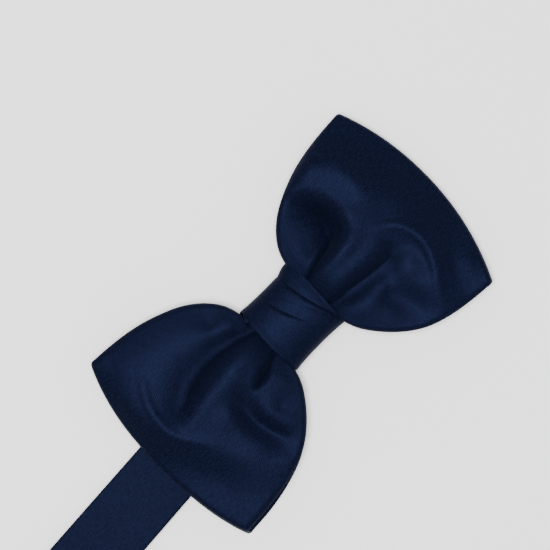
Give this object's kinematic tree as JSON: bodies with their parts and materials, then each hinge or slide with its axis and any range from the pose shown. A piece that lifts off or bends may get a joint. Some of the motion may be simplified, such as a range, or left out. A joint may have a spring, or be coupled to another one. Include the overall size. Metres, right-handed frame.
{
  "type": "pre-tied bow tie",
  "caption": "Pre-tied satin bow tie with a wrapped centre knot on an adjustable neck strap that closes with a hook and eye.",
  "frame": {"origin": "on the back face of the neck strap that lies on the table or the collar, under the middle of the bow", "axes": "+X along the bow, away from the hook and the slide; +Y across the bow, up when it is worn; +Z out of the front of the bow"},
  "size_m": [0.2696, 0.0707, 0.0165],
  "materials": {
    "satin": "navy satin, soft sheen",
    "interlining": "unbleached woven interlining, matt",
    "thread": "navy sewing thread, matt",
    "plated_steel": "bright nickel plate"
  },
  "bodies": {
    "tie": {"bow_satin": "satin", "bow_interlining": "interlining", "knot_satin": "satin", "knot_interlining": "interlining", "waist_thread": "thread", "knot_stitches": "thread", "strap_satin": "satin", "strap_interlining": "interlining", "strap_return_satin": "satin", "strap_return_interlining": "interlining", "strap_eye_stitches": "thread"},
    "slider": {"slide_adjuster": "plated_steel", "strap_tail_satin": "satin", "strap_tail_interlining": "interlining", "strap_tail_stitches": "thread"},
    "hook": {"clasp_hook": "plated_steel"},
    "eye": {"clasp_eye": "plated_steel"}
  },
  "joints": [
    {"name": "slider_travel", "type": "slide", "parent": "tie", "child": "slider", "axis": [0.998, 0.0628, 0], "range_m": [-0.03, 0.008], "deforming": ["strap_return_satin", "strap_return_interlining"]},
    {"name": "hook_pivot", "type": "hinge", "parent": "tie", "child": "hook", "pos_m": [-0.14083, -0.01032, 0.00332], "axis": [0.0628, -0.998, 0], "range_deg": [0, 90]},
    {"name": "eye_pivot", "type": "hinge", "parent": "tie", "child": "eye", "pos_m": [-0.11788, -0.00887, 0.00332], "axis": [-0.0628, 0.998, 0], "range_deg": [0, 22.6]}
  ],
  "couplings": [
    {"joint": "eye_pivot", "follows": "hook_pivot", "ratio": 0.25}
  ]
}
